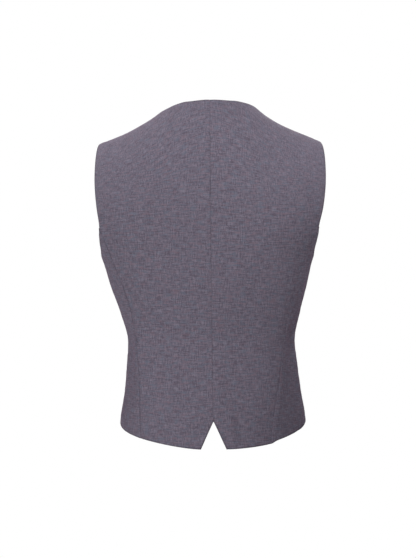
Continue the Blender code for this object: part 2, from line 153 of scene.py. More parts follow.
def smooth_step(share):
    """3 share^2 - 2 share^3, with the share held between 0 and 1."""
    share = np.clip(share, 0, 1)
    return share * share * (3 - 2 * share)


def bell(off, width):
    """A bell curve: e to the power of -(off / width)^2."""
    return np.exp(-(off / width) ** 2)


def read_smoothly(table, names, name, at):
    """A column read between its rows by cubics: the slope at a row is the harmonic mean of the
    slopes on its two sides, and 0 where they disagree, so the curve never overshoots."""
    knots = column(table, names, names[0])
    values = column(table, names, name)
    widths = np.diff(knots)
    slopes = np.diff(values) / widths
    product = slopes[:-1] * slopes[1:]
    total = slopes[:-1] + slopes[1:]
    inner = np.where(product > 0, 2 * product / np.where(total == 0, 1, total), 0)
    tangents = np.concatenate([slopes[:1], inner, slopes[-1:]])
    at = np.clip(at, knots[0], knots[-1])
    i = np.clip(np.searchsorted(knots, at) - 1, 0, len(widths) - 1)
    t = (at - knots[i]) / widths[i]
    bend_in = t * (1 - t) ** 2 * widths[i] * tangents[i]
    bend_out = t * t * (t - 1) * widths[i] * tangents[i + 1]
    return values[i] + (values[i + 1] - values[i]) * smooth_step(t) + bend_in + bend_out


def body_size(name, level):
    """One size of the rounded plan section of the garment at a level."""
    return read_smoothly(BODY_SIZES, BODY_COLUMNS, name, level)


def girth(side, turn, level):
    """Plan point x, y where |x / half width|^n + |y / depth|^n = 1 at a true angle, less the
    depth of each fold, which fades as a bell curve along the fold and across it."""
    behind = np.sin(turn) >= 0
    depth = np.where(behind, body_size("back_depth", level), body_size("front_depth", level))
    fullness = np.where(
        behind, body_size(SIDE_NAMES[side] + "_fullness", level),
        body_size("front_fullness", level))
    across = np.abs(np.cos(turn)) / body_size(SIDE_NAMES[side], level)
    along = np.abs(np.sin(turn)) / depth
    radius = (across ** fullness + along ** fullness) ** (-1 / fullness)
    plain = radius
    for on_side, turn_deg, middle, lean_deg, rise, half_length, half_width, sunk in FOLDS:
        if on_side == side:
            up = level - middle * MM
            off = (turn - np.radians(turn_deg + lean_deg * up)) * plain
            up = up - rise * off
            radius = radius - sunk * MM * bell(off, half_width * MM) * bell(up, half_length * MM)
    return radius * np.cos(turn), radius * np.sin(turn)


def lean_in(level):
    """Angle gone along the quarter ellipse from the shoulder blades to the shoulder line."""
    return np.maximum((level - ROLL_LEVEL) / (TOP_LEVEL - ROLL_LEVEL), 0) * math.pi / 2


def worn_form(side, turn, level):
    """Points of the worn form.  Turn goes round it (0 at the side, 90 degrees at the centre
    back), level goes up it.  Above ROLL_LEVEL y shrinks as the cosine of the lean and the
    height grows as its sine, up to the shoulder line over that x."""
    turn, level = np.broadcast_arrays(np.asarray(turn, float), np.asarray(level, float))
    x, y = girth(side, turn, level)
    ridge = read_smoothly(SHOULDER_LINE, SHOULDER_COLUMNS, SIDE_NAMES[side], x)
    height = np.minimum(level, ROLL_LEVEL) + (ridge - ROLL_LEVEL) * np.sin(lean_in(level))
    return np.stack([side * x, y * np.cos(lean_in(level)), height - HOLD_HEIGHT], axis=-1)


def facing(side, turn, level):
    """Outward unit normals: the cross product of small steps round the form and up it."""
    step = 2e-4
    round_it = worn_form(side, turn + step, level) - worn_form(side, turn - step, level)
    up_it = worn_form(side, turn, level + step) - worn_form(side, turn, level - step)
    found = side * np.cross(round_it, up_it)
    return found / np.linalg.norm(found, axis=-1, keepdims=True)


def section(side, level, behind):
    """Half width, depth and fullness of the plan section at a level, behind or in front."""
    fullness = body_size((SIDE_NAMES[side] if behind else "front") + "_fullness", level)
    depth = body_size("back_depth" if behind else "front_depth", level)
    return body_size(SIDE_NAMES[side], level), depth, fullness


def turn_at_x(side, x, level, behind):
    """Turn of the point of a plan section that lies x from the centre, from its
    y = depth * (1 - (x / half width)^n)^(1 / n)."""
    half_width, depth, fullness = section(side, level, behind)
    across = np.clip(np.abs(x) / half_width, 0, 1)
    y = depth * (1 - across ** fullness) ** (1 / fullness)
    return np.arctan2(y if behind else -y, x)


def armhole_turn(side, level, behind):
    """Turn of the armhole's edge: a quarter circle at its lower end, then a straight reach that
    eases over to the shoulder's tip with the cube of the height."""
    half_width, depth, fullness = section(side, level, behind)
    widest = ARMHOLE_BACK_REACH if behind else ARMHOLE_FRONT_REACH
    fallen = np.clip(1 - (level - UNDERARM_LEVEL) / ARMHOLE_ROUND, 0, 1)
    reach = widest * np.sqrt(1 - fallen ** 2)
    x = half_width * (1 - (reach / depth) ** fullness) ** (1 / fullness)
    turn = np.arctan2(reach if behind else -reach, x)
    tip = turn_at_x(side, SHOULDER_TIP_X, np.full_like(x, TOP_LEVEL), behind)
    start = UNDERARM_LEVEL + ARMHOLE_ROUND
    way = np.clip((level - start) / (TOP_LEVEL - start), 0, 1)
    return turn + (tip - turn) * way ** ARMHOLE_TIP_CURVE


def back_seam_turn(side, level):
    """Turn of the curved seam between back and side back, up to the armhole."""
    top_turn = armhole_turn(side, np.array(BACK_SEAM_TOP), True)
    top_x = float(girth(side, top_turn, np.array(BACK_SEAM_TOP))[0])
    rows = BACK_SEAM + ((BACK_SEAM_TOP, top_x, top_x),)
    x = read_smoothly(rows, BACK_SEAM_COLUMNS, SIDE_NAMES[side], level)
    return turn_at_x(side, x, level, True)


def centre_x(side, level):
    """Distance of the centre back seam from the middle, towards this side: none above SWAY_TOP,
    and evenly more below it."""
    return -side * CENTRE_SWAY * np.clip(1 - np.asarray(level, float) / SWAY_TOP, 0, 1)


def back_hem(side, turn):
    """Level of the back hem: an inverted V, then a rise to the side with the power HEM_CURVE."""
    middle = centre_x(side, 0.0)
    point_turn = turn_at_x(side, middle + VENT_HALF_WIDTH, np.array(0.0), True)
    x = girth(side, turn, np.zeros_like(turn))[0]
    vent = VENT_HEIGHT * (1 - np.abs(x - middle) / VENT_HALF_WIDTH)
    share = np.clip(1 - turn / point_turn, 0, 1)
    return np.where(turn > point_turn, vent, SIDE_HEM_RISE * share ** HEM_CURVE[side])


def meet_hem(side, turn_of, hem_of):
    """Level at which each column of a panel meets its hem, by putting one into the other."""
    level = np.zeros_like(turn_of(0.0))
    for _ in range(12):
        level = hem_of(side, turn_of(level))
    return level


def halve(low, high, is_above):
    """Level at which is_above turns true for each column, by halving."""
    low = low.copy()
    high = np.broadcast_to(high, low.shape).copy()
    for _ in range(40):
        middle = (low + high) / 2
        above = is_above(middle)
        high = np.where(above, middle, high)
        low = np.where(above, low, middle)
    return (low + high) / 2


LINE_STEP = 0.0024  # between the grid lines of a panel
FIRST_STEPS = (0.0015, 0.0030)


def grid_lines(start, stop, length):
    """Lines from start to just before stop, over a stretch of cloth of this length: even, but
    for two close to each end, and without the line at stop itself."""
    near, second = FIRST_STEPS
    inner = np.arange(second, length - second, LINE_STEP)
    inner = np.linspace(second, length - second, len(inner) + 1)
    return start + (stop - start) * np.concatenate([[0, near], inner, [length - near]]) / length


WALL = 0.0014  # worsted with its interlining
EDGE_BLEND = 0.007  # cloth over which an edge is drawn back
EDGE_ROUND_STEPS = 6
EDGE_SHADE_WIDTH = 0.0016
SEAM_ROUND = 0.00030  # a sewn edge turns into the seam with this radius
SEAM_DIP = 0.00030
SEAM_DIP_WIDTH = 0.0032
SEAM_UNSHADED = 0.73  # a sewn edge goes without this share of the painted edge shade
PUCKER_LENGTHS = (0.0083, 0.0127, 0.0211, 0.0346)
PUCKER_DEPTH = 0.00016
PUCKER_WIDTH = 0.009
TURNED_THICKER = 0.00018  # the allowance that is pressed under a turned edge
TURNED_WIDTH = 0.009
PRESSED_EASE = 0.004  # way over which an allowance under the cloth stops showing
ARC_STEPS = 24  # steps in which the cloth's width is added up


def unit(vectors):
    """Vectors of length 1."""
    return vectors / np.maximum(np.linalg.norm(vectors, axis=-1, keepdims=True), 1e-12)


def edge_lines(grid):
    """The four edges of a grid, as bottom, last column, top and first column."""
    return {"bottom": grid[0], "last": grid[:, -1], "top": grid[-1], "first": grid[:, 0]}


def edge_out(points, normals):
    """For each edge, directions in the cloth that point straight out of the panel: the edge's
    own direction crossed with the cloth's normal, turned to face away from the next line."""
    beside = {"bottom": points[1], "last": points[:, -2], "top": points[-2], "first": points[:, 1]}
    out = {}
    for name, line in edge_lines(points).items():
        tangent = unit(np.gradient(line, axis=0))
        away = unit(np.cross(tangent, edge_lines(normals)[name]))
        facing_out = np.sign(np.sum(away * (line - beside[name]), axis=-1, keepdims=True))
        out[name] = away * facing_out
    return out


def nearness(points, line, out):
    """For every point the place on an edge at the least distance, and how far inside that edge
    it lies: the way from there, measured against the edge's outward direction."""
    flat = points.reshape(-1, 3)
    square = (flat ** 2).sum(1)[:, None] + (line ** 2).sum(1) - 2 * flat @ line.T
    nearest = square.argmin(axis=1)
    inside = -np.sum((flat - line[nearest]) * out[nearest], axis=1)
    reach = np.sqrt(np.maximum(square.min(axis=1), 0))
    inside = np.where(reach < 0.02, np.clip(inside, 0, None), reach)
    return nearest.reshape(points.shape[:2]), inside.reshape(points.shape[:2])


def edge_work(side, points, out, sewn):
    """What its edges do to a panel: the height they add to its outer face, the way they draw it
    back, and a painted shade that darkens its colour as a bell curve of the distance to an edge,
    more weakly beside a seam.  Beside a sewn edge it dips and puckers as a bell curve of the
    distance; beside a turned one it is thicker by the allowance under it.  A turned edge is
    drawn back by half a wall and a sewn one by less, so that two meet in a fine groove."""
    height = np.zeros(points.shape[:2])
    shade = np.zeros(points.shape[:2])
    draws = []
    for edge, line in edge_lines(points).items():
        nearest, inside = nearness(points, line, out[edge])
        joined = sewn[edge][nearest]
        along = np.concatenate([[0], np.cumsum(np.linalg.norm(np.diff(line, axis=0), axis=1))])
        waves = sum(
            np.sin(2 * math.pi * along / length + 1.7 * number + side)
            for number, length in enumerate(PUCKER_LENGTHS)) / 2
        height -= joined * SEAM_DIP * bell(inside, SEAM_DIP_WIDTH)
        height += joined * PUCKER_DEPTH * waves[nearest] * bell(inside, PUCKER_WIDTH)
        pressed = smooth_step((TURNED_WIDTH - inside) / PRESSED_EASE)
        height += (1 - joined) * TURNED_THICKER * pressed
        drawn = WALL / 2 + joined * (SEAM_ROUND - WALL / 2)
        fade = np.clip(1 - inside / EDGE_BLEND, 0, 1)
        draws.append((out[edge][nearest], drawn * fade, joined * fade))
        # painted shade: the colour darkens close to each edge, less beside a sewn one
        shade = np.maximum(shade, (1 - SEAM_UNSHADED * joined) * bell(inside, EDGE_SHADE_WIDTH))
    moved = -sum(away * by[..., None] for away, by, _ in draws)
    for away, by, held in draws:
        pulled_open = np.sum(moved * away, axis=-1) + by
        moved = moved - away * (pulled_open * held)[..., None]
    return height, moved, shade


def closed_wall(outer, normals, out, sewn):
    """Points and faces of the wall behind an outer face, and the loop of points at its edge.  The
    inner face is the outer one moved in by the wall, and half a circle rounds the edge."""
    rows, columns = outer.shape[:2]
    index = np.arange(rows * columns).reshape(rows, columns)
    loop = np.concatenate([index[0, :-1], index[:-1, -1], index[-1, :0:-1], index[:0:-1, 0]])
    out_grid = np.zeros_like(outer)
    for edge, line in edge_lines(out_grid).items():
        round_by = 1 + sewn[edge] * (SEAM_ROUND / (WALL / 2) - 1)
        line += out[edge] * round_by[:, None]
    flat_outer, flat_normals = outer.reshape(-1, 3), normals.reshape(-1, 3)
    middle = flat_outer[loop] - WALL / 2 * flat_normals[loop]
    angle = np.linspace(0, math.pi, EDGE_ROUND_STEPS + 1)[1:-1, None, None]
    rim = middle + WALL / 2 * (
        np.cos(angle) * flat_normals[loop] + np.sin(angle) * out_grid.reshape(-1, 3)[loop])
    vertices = np.concatenate([flat_outer, flat_outer - WALL * flat_normals, rim.reshape(-1, 3)])

    skin = np.stack([index[:-1, :-1], index[:-1, 1:], index[1:, 1:], index[1:, :-1]], axis=-1)
    skin = skin.reshape(-1, 4)
    rings = [loop] + [2 * rows * columns + k * len(loop) + np.arange(len(loop))
                      for k in range(len(rim))] + [loop + rows * columns]
    bands = [np.stack([np.roll(a, -1), a, b, np.roll(b, -1)], axis=-1)
             for a, b in zip(rings, rings[1:])]
    faces = np.concatenate([skin, skin[:, ::-1] + rows * columns] + bands)
    first, second, third = flat_outer[skin[:, 0]], flat_outer[skin[:, 1]], flat_outer[skin[:, 3]]
    if np.sum(np.cross(second - first, third - first) * flat_normals[skin[:, 0]]) < 0:
        faces = faces[:, ::-1]
    return vertices, faces, loop


def cut_place(side, turn, level, grain_turn, cut_from):
    """Places on the flat cut, in metres: across, the arc at that level from the grain line to
    the point; up, the way climbed along the grain line to that level."""
    way = np.linspace(0, 1, ARC_STEPS + 1)[:, None, None]
    stations = worn_form(side, grain_turn + (turn - grain_turn) * way, level[None])
    width = np.linalg.norm(np.diff(stations, axis=0), axis=-1).sum(axis=0)
    ladder = np.linspace(-0.02, TOP_LEVEL, 300)
    climbed = worn_form(side, np.full_like(ladder, grain_turn), ladder)
    climbed = np.cumsum(np.linalg.norm(np.diff(climbed, axis=0, prepend=climbed[:1]), axis=1))
    across = cut_from[0] + side * np.sign(grain_turn - turn) * width
    return np.stack([across, cut_from[1] + np.interp(level, ladder, climbed)], axis=-1)


def add_object(name, data):
    """Puts a mesh, a lamp or a camera in the scene."""
    made = bpy.data.objects.new(name, data)
    bpy.context.scene.collection.objects.link(made)
    return made


def cloth_panel(name, side, turn, level, sewn, grain_turn, cut_from, relief=0.0, lift=0.0):
    """A closed wall of cloth over a grid of turn and level.  Its outer face is the form, moved
    out by the lift, the relief and the work at its edges.  It carries its place on the cut in
    metres and, as the attribute "edge", a painted shade that darkens its colour near its edges."""
    normals = facing(side, turn, level)
    points = worn_form(side, turn, level) + lift * normals
    out = edge_out(points, normals)
    sewn = {edge: np.broadcast_to(sewn[edge], len(line)) for edge, line in out.items()}
    height, moved, shade = edge_work(side, points, out, sewn)
    outer = points + (height + relief)[..., None] * normals + moved
    vertices, faces, loop = closed_wall(outer, normals, out, sewn)
    cut = cut_place(side, turn, level, grain_turn, cut_from).reshape(-1, 2)
    shade = shade.reshape(-1)
    cut = np.concatenate([cut, cut] + [cut[loop]] * (EDGE_ROUND_STEPS - 1))
    shade = np.concatenate([shade, shade] + [shade[loop]] * (EDGE_ROUND_STEPS - 1))
    mesh = bpy.data.meshes.new(name)
    mesh.from_pydata(vertices.tolist(), [], faces.tolist())
    layer = mesh.uv_layers.new(name="cut")
    layer.data.foreach_set("uv", cut[faces.reshape(-1)].reshape(-1).astype(np.float32))
    # painted shade: how much the cloth's colour is darkened near its edges and seams
    painted_shade_layer = mesh.attributes.new("edge", "FLOAT", "POINT")
    painted_shade_layer.data.foreach_set("value", shade.astype(np.float32))
    mesh.shade_smooth()
    return add_object(name, mesh)


def back_half(side):
    """Turns and levels of half the back, and its sewn edges: columns from the centre seam to
    the back seam and the armhole, rows from the hem to the shoulder seam and the neckline,
    where |x / half width|^n + |y / depth|^n = 1."""

    def turn_of(share, level):
        level = level + 0 * share
        seam = back_seam_turn(side, np.minimum(level, BACK_SEAM_TOP))
        outer = np.where(level < BACK_SEAM_TOP, seam, armhole_turn(side, level, True))
        centre = turn_at_x(side, centre_x(side, level), level, True)
        return centre + share * (outer - centre)

    hem_centre, hem_outer = turn_of(np.array([0.0, 1.0]), 0.0)
    vent_x = centre_x(side, 0.0) + VENT_HALF_WIDTH
    vent_turn = float(turn_at_x(side, vent_x, np.array(0.0), True))
    neck_turn = float(turn_at_x(side, NECK_HALF_WIDTH, np.array(TOP_LEVEL), True))
    tip_turn = float(armhole_turn(side, np.array(TOP_LEVEL), True))
    vent_share = float((hem_centre - vent_turn) / (hem_centre - hem_outer))
    neck_share = (math.pi / 2 - neck_turn) / (math.pi / 2 - tip_turn)
    share = np.concatenate([
        grid_lines(0, vent_share, 0.024), grid_lines(vent_share, neck_share, 0.050),
        grid_lines(neck_share, 1, 0.085), [1.0]])

    def inside_neck(level):
        x, y, _ = np.moveaxis(worn_form(side, turn_of(share, level), level), -1, 0)
        across = (np.abs(x) / NECK_HALF_WIDTH) ** NECK_ROUNDNESS
        return across + (np.abs(y) / NECK_DEPTH_BACK) ** NECK_ROUNDNESS < 1

    bottom = meet_hem(side, lambda level: turn_of(share, level), back_hem)
    bottom = bottom - HEM_SAG[side] * share ** 2
    neckline = halve(np.full_like(share, ROLL_LEVEL), TOP_LEVEL, inside_neck)
    top = np.where(share < neck_share - 1e-6, neckline, TOP_LEVEL)
    lower = grid_lines(0, 1, 0.328)[:, None]
    upper = np.append(grid_lines(0, 1, 0.230), 1.0)[:, None]
    level = np.concatenate([
        bottom + (BACK_SEAM_TOP - bottom) * lower,
        BACK_SEAM_TOP + (top - BACK_SEAM_TOP) * upper])
    sewn = {
        "bottom": 0, "first": 1, "last": level[:, -1] < BACK_SEAM_TOP + 1e-6,
        "top": share > neck_share - 1e-6}
    return turn_of(share, level), level, sewn


def put_in(node, values):
    """Gives a node's sockets, by name or number, their links or plain numbers."""
    for name, value in values.items():
        if isinstance(value, bpy.types.NodeSocket):
            node.id_data.links.new(value, node.inputs[name])
        else:
            node.inputs[name].default_value = value


def add_node(tree, kind, values):
    """A shader node with these links and numbers in its sockets."""
    made = tree.nodes.new("ShaderNode" + kind)
    put_in(made, values)
    return made


def sums(tree, operation, first, second=0, clamp=False):
    """A Math node."""
    made = add_node(tree, "Math", {0: first, 1: second})
    made.operation = operation
    made.use_clamp = clamp
    return made.outputs[0]


def stretched_noise(tree, where, per_metre_across, per_metre_up, detail, seed):
    """Noise whose grains are 1 / per_metre long each way along the cut."""
    turned = add_node(tree, "Mapping", {
        "Vector": where, "Location": (seed * 7.31, seed * 3.17, seed),
        "Scale": (per_metre_across, per_metre_up, 1)})
    made = add_node(tree, "TexNoise", {
        "Vector": turned.outputs[0], "Scale": 1, "Detail": detail, "Roughness": 0.55})
    made.noise_dimensions = "2D"
    return made.outputs["Fac"]


def spread(tree, value, low, high, to_low, to_high, smooth=True):
    """Maps a value from one range to another, held at its ends."""
    made = add_node(tree, "MapRange", {
        "Value": value, "From Min": low, "From Max": high, "To Min": to_low, "To Max": to_high})
    made.interpolation_type = "SMOOTHSTEP" if smooth else "LINEAR"
    return made.outputs[0]


def blend_colour(tree, share, first, second, how="MIX"):
    """A Mix node for colours."""
    made = add_node(tree, "Mix", {})
    made.data_type = "RGBA"
    made.blend_type = how
    put_in(made, {0: share, 6: first, 7: second})
    return made.outputs[2]


def new_material(name):
    """A material, its node tree and its shader."""
    made = bpy.data.materials.new(name)
    made.use_nodes = True
    return made, made.node_tree, made.node_tree.nodes["Principled BSDF"]


def raised(tree, height, strength, distance):
    """A Bump node, which tilts the light's normal by the slope of a height."""
    values = {"Height": height, "Strength": strength, "Distance": distance}
    return add_node(tree, "Bump", values).outputs[0]


THREAD = 0.00045  # pitch of the threads, both ways
DARK_END = (0.098, 0.083, 0.112, 1)
LIGHT_END = (0.200, 0.181, 0.234, 1)
ROSE_FLECK = (0.190, 0.133, 0.167, 1)
BLUE_FLECK = (0.122, 0.149, 0.202, 1)


def worsted_cloth():
    """End-on-end worsted: plain weave as the sine of the way across times the sine of the way
    up, slubs along both ways of the cloth, and flecks of rose and blue-grey fibre.  Its colour
    is darkened by painted shade near the panels' edges and seams."""
    made, tree, shader = new_material("worsted")
    cut_map = add_node(tree, "UVMap", {})
    cut_map.uv_map = "cut"
    cut = cut_map.outputs[0]
    parts = add_node(tree, "SeparateXYZ", {0: cut})
    warp = sums(tree, "SINE", sums(tree, "MULTIPLY", parts.outputs[0], math.pi / THREAD))
    weft = sums(tree, "SINE", sums(tree, "MULTIPLY", parts.outputs[1], math.pi / THREAD))
    over = sums(tree, "MULTIPLY", warp, weft)

    warp_slub = stretched_noise(tree, cut, 620, 105, 2, 1)
    weft_slub = stretched_noise(tree, cut, 76, 630, 2, 2)
    fleck = stretched_noise(tree, cut, 640, 640, 1, 3)
    slub = sums(tree, "ADD", warp_slub, weft_slub)
    slub = sums(tree, "ADD", slub, sums(tree, "MULTIPLY", fleck, 0.6))
    heather = spread(tree, slub, 0.97, 1.61, 0, 1, smooth=False)
    heather = sums(tree, "POWER", heather, 1.5)
    heather = sums(tree, "ADD", heather, sums(tree, "MULTIPLY", over, 0.07), clamp=True)
    colour = blend_colour(tree, heather, DARK_END, LIGHT_END)

    rose = spread(tree, stretched_noise(tree, cut, 75, 300, 2, 4), 0.50, 0.72, 0, 0.50)
    blue = spread(tree, stretched_noise(tree, cut, 80, 290, 2, 5), 0.50, 0.72, 0, 0.50)
    colour = blend_colour(tree, rose, colour, ROSE_FLECK)
    colour = blend_colour(tree, blue, colour, BLUE_FLECK)
    cloudy = spread(tree, stretched_noise(tree, cut, 26, 18, 1, 6), 0.3, 0.7, 0.985, 1.015)
    # painted shade: near edges and seams the colour is darkened by up to 38 percent, on top of the
    # random tone
    edge = add_node(tree, "Attribute", {})
    edge.attribute_name = "edge"
    cloudy = sums(tree, "MULTIPLY", cloudy, spread(tree, edge.outputs["Fac"], 0.1, 1, 1, 0.62))
    grey = add_node(tree, "CombineColor", {0: cloudy, 1: cloudy, 2: cloudy})
    colour = blend_colour(tree, 1, colour, grey.outputs[0], "MULTIPLY")
    height = sums(tree, "ADD", sums(tree, "MULTIPLY", over, 0.30), slub)
    put_in(shader, {
        "Base Color": colour, "Roughness": spread(tree, heather, 0, 1, 0.90, 0.78),
        "Specular IOR Level": 0.30, "Sheen Weight": 0.11, "Sheen Roughness": 0.30,
        "Sheen Tint": (0.75, 0.38, 0.62, 1), "Normal": raised(tree, height, 0.55, 0.00035)})
    return made


worsted = worsted_cloth()


def hang(piece, node):
    """Gives a panel its cloth and its body, and hides the solid that it stands for."""
    piece.data.materials.append(worsted)
    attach(piece, "root")
    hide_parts(node)


for side, side_name in SIDE_NAMES.items():
    turn, level, sewn = back_half(side)
    half = cloth_panel(
        f"back_{side_name}_cloth", side, turn, level, sewn, math.pi / 2,
        (0.31 + 0.40 * side, 0.05 + 0.013 * side))
    hang(half, f"back_{side_name}")


# ==== The side backs ====
# A narrow panel on each side, from the curved back seam to the side seam.  It is cut on the
# same grain as the back, and its upper end is a short stretch of the armhole.  The allowances
# of the back seam are pressed under it, and show as a slightly raised band.
ALLOWANCE_WIDTH = 0.0095
ALLOWANCE_RISE = 0.00038
SIDE_BACK_WIDTH = 0.062  # round the waist
SAG_FADE = 0.07  # share of that width in which the back's sag dies out


def side_back(side):
    """Turns and levels of a side back, its sewn edges, and the smooth step down off the
    allowance: columns from the back seam to the side seam, rows from the hem to the armhole."""
    share = np.append(grid_lines(0, 1, SIDE_BACK_WIDTH), 1.0)

    def turn_of(share, level):
        level = level + 0 * share
        return back_seam_turn(side, level) * (1 - share)

    bottom = meet_hem(side, lambda level: turn_of(share, level), back_hem)
    bottom = bottom - HEM_SAG[side] * bell(share, SAG_FADE)
    top = halve(
        np.full_like(share, UNDERARM_LEVEL), BACK_SEAM_TOP,
        lambda level: armhole_turn(side, level, True) > turn_of(share, level))
    rows = np.append(grid_lines(0, 1, 0.300), 1.0)[:, None]
    level = bottom + (top - bottom) * rows
    sewn = {"bottom": 0, "first": 1, "last": 1, "top": 0}
    under = smooth_step((ALLOWANCE_WIDTH - share * SIDE_BACK_WIDTH) / PRESSED_EASE)
    return turn_of(share, level), level, sewn, ALLOWANCE_RISE * under


for side, side_name in SIDE_NAMES.items():
    turn, level, sewn, band = side_back(side)
    panel = cloth_panel(
        f"side_back_{side_name}_cloth", side, turn, level, sewn, math.radians(40),
        (1.13 + 0.40 * side, 0.52 + 0.017 * side), relief=band)
    hang(panel, f"side_back_{side_name}")


# ==== The fronts ====
# A left and a right front of the same worsted, shaped by a waist dart each.  The right front
# laps over the left one down the centre.  Their edges run up into the V of the neck and slope
# away below the last button to a point each.
V_BOTTOM = 0.286  # the front edges part at this level
LAP = 0.016
LAP_LIFT = 0.0025  # a wall and a small gap between the two fronts
LAP_FADE = 0.060
FRONT_POINT_X = 0.060
FRONT_POINT_HEIGHT = -0.002
CUTAWAY_HEIGHT = 0.050
FRONT_WIDTH = 0.190  # round the waist
DART_SHARE = 0.40  # place of the dart between front edge and side seam
DART_LINES = 0.004  # share between the dart and the grid lines beside it
DART_TOP = 0.242
DART_FADE = 0.020
DART_DIP = 0.00065
DART_DIP_WIDTH = 0.0011
DART_HOLLOW = 0.0003  # soft dip beside the stitches
DART_HOLLOW_WIDTH = 0.006
DART_PUCKER_LENGTH = 0.0131
UPPER_ROWS = 118  # from the underarm to the shoulder
UPPER_CROWDING = 1.35  # above 1 they crowd at the underarm's curve


def front_edge_x(side, level):
    """Distance of a front's edge from the centre: the lap, then straight up the V."""
    neck_rise = float(
        read_smoothly(SHOULDER_LINE, SHOULDER_COLUMNS, SIDE_NAMES[side], NECK_HALF_WIDTH))
    height = np.minimum(level, ROLL_LEVEL) + (neck_rise - ROLL_LEVEL) * np.sin(lean_in(level))
    way = np.clip((height - V_BOTTOM) / (neck_rise - V_BOTTOM), 0, 1)
    return -LAP + (NECK_HALF_WIDTH + LAP) * way


def front_hem(side, turn):
    """Level of a front's hem: a straight slope to its point, then a rise to the side."""
    point_turn = turn_at_x(side, FRONT_POINT_X, np.array(0.0), False)
    x = girth(side, turn, np.zeros_like(turn))[0]
    slope = (CUTAWAY_HEIGHT - FRONT_POINT_HEIGHT) / (LAP + FRONT_POINT_X)
    share = np.clip(1 - turn / point_turn, 0, 1)
    curve = (SIDE_HEM_RISE - FRONT_POINT_HEIGHT) * share ** HEM_CURVE[side]
    return FRONT_POINT_HEIGHT + np.where(turn < point_turn, slope * (FRONT_POINT_X - x), curve)


def front(side):
    """Turns and levels of a front, its sewn edges, and the groove of its dart as two bell
    curves: columns from the front edge to the side seam and the armhole, rows from the hem to
    the shoulder seam."""

    def turn_of(share, level):
        level = level + 0 * share
        inner = turn_at_x(side, front_edge_x(side, level), level, False)
        outer = np.where(level < UNDERARM_LEVEL, 0.0, armhole_turn(side, level, False))
        return inner + share * (outer - inner)

    edge_turn = float(turn_at_x(side, -LAP, np.array(0.0), False))
    point_turn = float(turn_at_x(side, FRONT_POINT_X, np.array(0.0), False))
    point_share = (point_turn - edge_turn) / -edge_turn
    share = np.concatenate([
        grid_lines(0, DART_SHARE, 0.078),
        [DART_SHARE - DART_LINES, DART_SHARE, DART_SHARE + DART_LINES],
        grid_lines(DART_SHARE, 1, 0.125)[1:], [1.0, point_share]])
    share = np.unique(np.round(share, 7))
    bottom = meet_hem(side, lambda level: turn_of(share, level), front_hem)
    middle = V_BOTTOM + (UNDERARM_LEVEL - V_BOTTOM) * share
    lower = grid_lines(0, 1, 0.285)[:, None]
    upper = np.linspace(0, 1, UPPER_ROWS)[:, None] ** UPPER_CROWDING
    level = np.concatenate([
        bottom + (middle - bottom) * lower, middle + (TOP_LEVEL - middle) * upper])
    sewn = {"bottom": 0, "first": 0, "last": level[:, -1] < UNDERARM_LEVEL + 1e-6, "top": 1}
    off = (share - DART_SHARE) * FRONT_WIDTH
    fade = np.clip((DART_TOP - level) / DART_FADE, 0, 1)
    puckers = 0.75 + 0.25 * np.sin(2 * math.pi * level / DART_PUCKER_LENGTH + side)
    hollow = DART_HOLLOW * bell(off, DART_HOLLOW_WIDTH) * puckers
    dart = -(DART_DIP * bell(off, DART_DIP_WIDTH) + hollow) * fade
    return turn_of(share, level), level, sewn, dart


def lap_lift(side, turn, level):
    """How far the upper front stands off the form: in full over the lap, then less by a smooth
    step of the way past it."""
    x = worn_form(side, turn, level)[..., 0]
    return LAP_LIFT * smooth_step(1 - (side * x - LAP) / LAP_FADE)


for side, side_name in SIDE_NAMES.items():
    turn, level, sewn, dart = front(side)
    lift = lap_lift(side, turn, level)[..., None] if side == -1 else 0.0
    panel = cloth_panel(
        f"front_{side_name}_cloth", side, turn, level, sewn, -math.pi / 2,
        (2.05 + 0.40 * side, 0.09 + 0.011 * side), relief=dart, lift=lift)
    hang(panel, f"front_{side_name}")


# ==== The buttons ====
# Five four-hole horn buttons down the centre front, each turned with a raised rim and a dished
# middle, and sewn on through its holes with doubled thread.
BUTTON_COUNT = 5
BUTTON_RADIUS = 0.0075
BUTTON_THICK = 0.0030
TOP_BUTTON_LEVEL = 0.271
BOTTOM_BUTTON_LEVEL = 0.075
BUTTON_SEAT = 0.0029  # its back above the form: the lap's lift and a small gap
BUTTON_SIDES = 96
BUTTON_COLUMNS = ("radius", "rise")
BUTTON_PROFILE = (  # shares of its radius and thickness, from the back to the face
    (0.790, 0.000), (0.900, 0.060), (0.965, 0.200), (0.995, 0.400), (0.990, 0.640),
    (0.955, 0.860), (0.890, 0.985), (0.820, 0.990), (0.755, 0.900), (0.690, 0.745),
    (0.610, 0.665), (0.500, 0.640))
FACE_EDGE = (0.500, 0.640)  # from here the face is dished
FACE_MIDDLE = 0.620  # down to this share of the thickness
FACE_RINGS = 25
HOLE_OUT = 0.00165  # button's centre to each hole
HOLE_RADIUS = 0.00062
HOLE_DEPTH = 0.0013
HORN_DARK = (0.030, 0.024, 0.032, 1)
HORN_LIGHT = (0.105, 0.086, 0.104, 1)


def button_frame(level):
    """Seat, across, up and outward directions of a button on the upper front."""
    turn = np.array(-math.pi / 2)
    level = np.array(level)
    outward = facing(-1, turn, level)
    seat = worn_form(-1, turn, level) + BUTTON_SEAT * outward
    across = np.array((1.0, 0.0, 0.0))
    up = unit(np.cross(outward, across))
    return seat, across, up * np.sign(up[2]), outward


